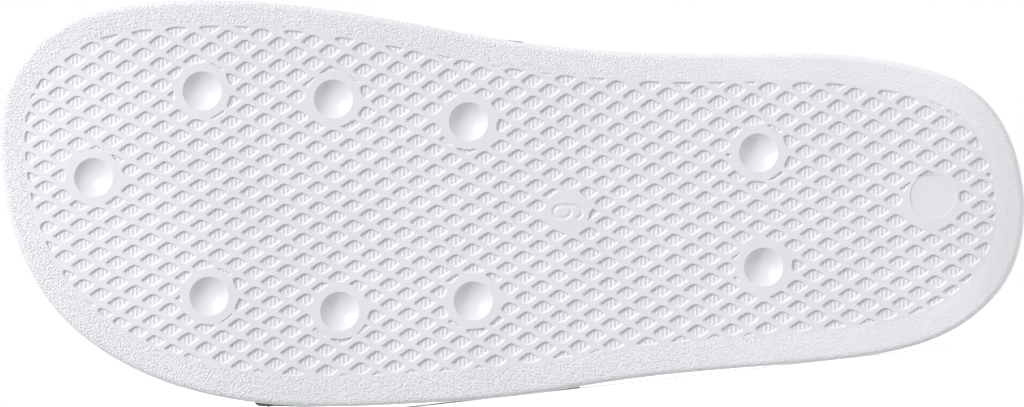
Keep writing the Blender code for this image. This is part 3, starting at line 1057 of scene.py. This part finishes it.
def add_seam(shape, width, proud, from_front):
    """Add the thread of one binding's seam, one bent capsule for each stitch."""
    distance = width - STITCH_FROM_BORDER
    height = STRAP_WALL / 2 + bead(distance, width, proud) - STITCH_SINK

    def seam(arch):
        share = distance / strap_width(arch)
        band = 1 - share if from_front else share
        out = strap_out(arch, band)
        return strap_middle(arch, band) + out * height, out

    arches = numpy.linspace(STITCH_FIRST_ARCH, STITCH_LAST_ARCH, STITCH_SAMPLES)
    places = [seam(arch)[0] for arch in arches]
    lengths = [0.0]
    for place, following in zip(places, places[1:]):
        lengths.append(lengths[-1] + (following - place).length)
    turns = [2 * math.pi * step / STITCH_SIDES for step in range(STITCH_SIDES)]
    for number in range(int(lengths[-1] / STITCH_PITCH)):
        rings = []
        for share, swell in STITCH_SECTIONS:
            arch = float(numpy.interp(number * STITCH_PITCH + STITCH_LENGTH * share, lengths, arches))
            place, out = seam(arch)
            place = place - out * (STITCH_RADIUS * STITCH_END_SINK * (abs(2 * share - 1) ** 3))
            side = (seam(arch + TINY)[0] - seam(arch - TINY)[0]).normalized().cross(out)
            if swell == 0.0:
                rings.append(shape.add([place]))
            else:
                rings.append(shape.add([place + (out * math.cos(turn) + side * math.sin(turn))
                                        * (STITCH_RADIUS * swell) for turn in turns]))
        for ring, following in zip(rings[1:-1], rings[2:-1]):
            shape.bridge(following, ring)
        for index in range(STITCH_SIDES):
            after = (index + 1) % STITCH_SIDES
            shape.face((rings[0][0], rings[1][index], rings[1][after]))
            shape.face((rings[-1][0], rings[-2][after], rings[-2][index]))


def make_stitches(material):
    shape = Shape()
    add_seam(shape, REAR_BINDING_WIDTH, REAR_BINDING_PROUD, False)
    add_seam(shape, FRONT_BINDING_WIDTH, FRONT_BINDING_PROUD, True)
    made = shape.build("strap_stitching", [material])
    lay_on_floor(made)
    return made


class Nodes:
    """Builds one material's nodes: a roughness, and a colour between the pair's by a noise."""

    def __init__(self, name, roughness, pair, scale, detail):
        self.material = bpy.data.materials.new(name)
        self.material.use_nodes = True
        self.tree = self.material.node_tree
        self.shader = self.tree.nodes["Principled BSDF"]
        self.shader.inputs["Roughness"].default_value = roughness
        self.coordinates = self.tree.nodes.new("ShaderNodeTexCoord").outputs["Object"]
        ramp = self.add("ShaderNodeValToRGB", {"Fac": self.noise(scale, detail)})
        for element, position, colour in zip(ramp.color_ramp.elements, (0.3, 0.7), pair):
            element.position = position
            element.color = (*colour, 1.0)
        self.link(ramp.outputs["Color"], "Base Color")

    def add(self, kind, inputs, **settings):
        node = self.tree.nodes.new(kind)
        for key, value in settings.items():
            setattr(node, key, value)
        for key, value in inputs.items():
            if isinstance(value, bpy.types.NodeSocket):
                self.tree.links.new(value, node.inputs[key])
            else:
                node.inputs[key].default_value = value
        return node

    def noise(self, scale, detail=2.0, roughness=0.5):
        inputs = {"Vector": self.coordinates, "Scale": scale, "Detail": detail, "Roughness": roughness}
        return self.add("ShaderNodeTexNoise", inputs).outputs["Fac"]

    def cells(self, scale):
        inputs = {"Vector": self.coordinates, "Scale": scale}
        return self.add("ShaderNodeTexVoronoi", inputs).outputs["Distance"]

    def rough(self, scale, low, high):
        """Vary the roughness between two values by a noise."""
        node = self.add("ShaderNodeMapRange", {"Value": self.noise(scale), "To Min": low, "To Max": high})
        self.link(node.outputs["Result"], "Roughness")

    def waves(self, scale, distortion, direction):
        inputs = {"Vector": self.coordinates, "Scale": scale, "Distortion": distortion}
        node = self.add("ShaderNodeTexWave", inputs, wave_type="BANDS", bands_direction=direction)
        return node.outputs["Fac"]

    def bump(self, height, strength, distance, normal=None):
        inputs = {"Height": height, "Strength": strength, "Distance": distance}
        if normal is not None:
            inputs["Normal"] = normal
        return self.add("ShaderNodeBump", inputs).outputs["Normal"]

    def link(self, value, socket):
        self.tree.links.new(value, self.shader.inputs[socket])


def rubber_material(name, grain):
    """Light grey moulded foam rubber: satin, or with a fine pebbled grain."""
    nodes = Nodes(name, 0.5, GRAIN_COLOURS if grain else RUBBER_COLOURS, 45.0, 3.0)
    nodes.rough(400.0, 0.36, 0.46)
    nodes.shader.inputs["Specular IOR Level"].default_value = 0.5
    if grain:
        # The moulded grain is worn smoother towards the heel
        along = nodes.add("ShaderNodeSeparateXYZ", {"Vector": nodes.coordinates}).outputs["X"]
        worn = nodes.add("ShaderNodeMapRange", {
            "Value": along, "From Min": GRAIN_TOE_X, "From Max": GRAIN_HEEL_X,
            "To Min": GRAIN_TOE_STRENGTH, "To Max": GRAIN_HEEL_STRENGTH})
        bump = nodes.bump(nodes.noise(GRAIN_SCALE, 1.0, 0.6), worn.outputs["Result"], GRAIN_DEPTH)
    else:
        bump = nodes.bump(nodes.noise(1800.0, 2.0), 0.05, 0.00006)
    nodes.link(bump, "Normal")
    return nodes.material


def footbed_material():
    nodes = Nodes("footbed_foam", 0.7, FOOTBED_COLOURS, 250.0, 3.0)
    nodes.rough(500.0, 0.62, 0.78)
    nodes.link(nodes.bump(nodes.noise(1500.0, 2.0, 0.6), 0.7, 0.0003), "Normal")
    return nodes.material


def leather_material(name, pair, scale, strength):
    nodes = Nodes(name, 0.6, pair, 120.0, 3.0)
    nodes.rough(700.0, 0.52, 0.68)
    nodes.shader.inputs["Specular IOR Level"].default_value = 0.3
    nodes.link(nodes.bump(nodes.cells(scale), strength, 0.0002), "Normal")
    return nodes.material


def lining_material():
    """Dark knitted textile: rows of small loops."""
    nodes = Nodes("strap_lining", 0.9, LINING_COLOURS, 900.0, 2.0)
    first = nodes.bump(nodes.waves(KNIT_SCALE, KNIT_DISTORTION, "X"), 0.5, 0.0002)
    nodes.link(nodes.bump(nodes.waves(KNIT_SCALE, KNIT_DISTORTION, "DIAGONAL"), 0.5, 0.0002, first), "Normal")
    nodes.shader.inputs["Sheen Weight"].default_value = 0.3
    nodes.shader.inputs["Sheen Roughness"].default_value = 0.5
    return nodes.material


def thread_material():
    nodes = Nodes("strap_thread", 0.6, THREAD_COLOURS, 1500.0, 2.0)
    nodes.link(nodes.bump(nodes.waves(700.0, 0.0, "DIAGONAL"), 0.5, 0.0001), "Normal")
    return nodes.material


sole = make_sole([rubber_material("sole_rubber", False), rubber_material("sole_grain", True)])
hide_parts("sole")

footbed = make_footbed(footbed_material())
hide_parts("footbed")

strap = make_strap([
    leather_material("strap_leather", LEATHER_COLOURS, 1100.0, 0.6),
    leather_material("strap_binding", BINDING_COLOURS, 1900.0, 0.35),
    lining_material(),
])
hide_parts("strap")
stitches = make_stitches(thread_material())
for piece in (sole, footbed, strap, stitches):
    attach(piece, "root")

# Stage
scene = bpy.context.scene
floor_mesh = bpy.data.meshes.new("floor")
floor_mesh.from_pydata([(-FLOOR_HALF, -FLOOR_HALF, 0), (FLOOR_HALF, -FLOOR_HALF, 0),
                        (FLOOR_HALF, FLOOR_BACK, 0), (-FLOOR_HALF, FLOOR_BACK, 0)], [], [(0, 1, 2, 3)])
floor = bpy.data.objects.new("floor", floor_mesh)
scene.collection.objects.link(floor)
floor_mesh.materials.append(Nodes("floor", 0.5, FLOOR_COLOURS, 6.0, 2.0).material)
# A white floor would light the shoe from below and flatten its tread
floor.visible_diffuse = False
floor.visible_glossy = False

world = bpy.data.worlds.new("studio")
scene.world = world
world.use_nodes = True
tree = world.node_tree
background = tree.nodes["Background"]
direction = tree.nodes.new("ShaderNodeTexCoord")
split = tree.nodes.new("ShaderNodeSeparateXYZ")
shade = tree.nodes.new("ShaderNodeMapRange")
shade.interpolation_type = "SMOOTHSTEP"
for socket, value in (("From Min", WORLD_CHANGE_FRONT), ("From Max", WORLD_CHANGE_BACK),
                      ("To Min", WORLD_FRONT), ("To Max", WORLD_BACK)):
    shade.inputs[socket].default_value = value
tree.links.new(direction.outputs["Generated"], split.inputs["Vector"])
tree.links.new(split.outputs["Y"], shade.inputs["Value"])
tree.links.new(shade.outputs["Result"], background.inputs["Strength"])
background.inputs["Color"].default_value = (1.0, 1.0, 1.0, 1.0)
scene.view_settings.view_transform = "Standard"

sole_middle = SHOE @ Vector((*PICTURE_CENTRE, 0.0))
shoe_turn = SHOE.to_3x3()
for name, towards, distance, size, watts, reached in LAMPS:
    data = bpy.data.lights.new(name, "AREA")
    data.shape = "SQUARE"
    data.size = size
    data.energy = watts
    lamp = bpy.data.objects.new(name, data)
    scene.collection.objects.link(lamp)
    turned = (shoe_turn @ Vector(towards)).normalized()
    lamp.location = sole_middle + turned * distance
    lamp.rotation_euler = turned.to_track_quat("Z", "Y").to_euler()
    receivers = bpy.data.collections.new(name)
    for made in (floor,) if reached == "floor" else (sole, footbed, strap, stitches):
        receivers.objects.link(made)
    lamp.light_linking.receiver_collection = receivers

camera_data = bpy.data.cameras.new("camera")
camera_data.sensor_width = SENSOR_WIDTH
camera_data.lens = SENSOR_WIDTH * CAMERA_DISTANCE / PICTURE_WIDTH
camera_data.clip_end = CAMERA_CLIP_END
camera = bpy.data.objects.new("camera", camera_data)
scene.collection.objects.link(camera)
right = shoe_turn @ picture_right.to_3d()
up = shoe_turn @ (-picture_down).to_3d()
camera.matrix_world = Matrix((right, up, right.cross(up))).transposed().to_4x4()
camera.location = SHOE @ Vector((*PICTURE_CENTRE, OUTLINE_LEVEL - CAMERA_DISTANCE))
scene.camera = camera
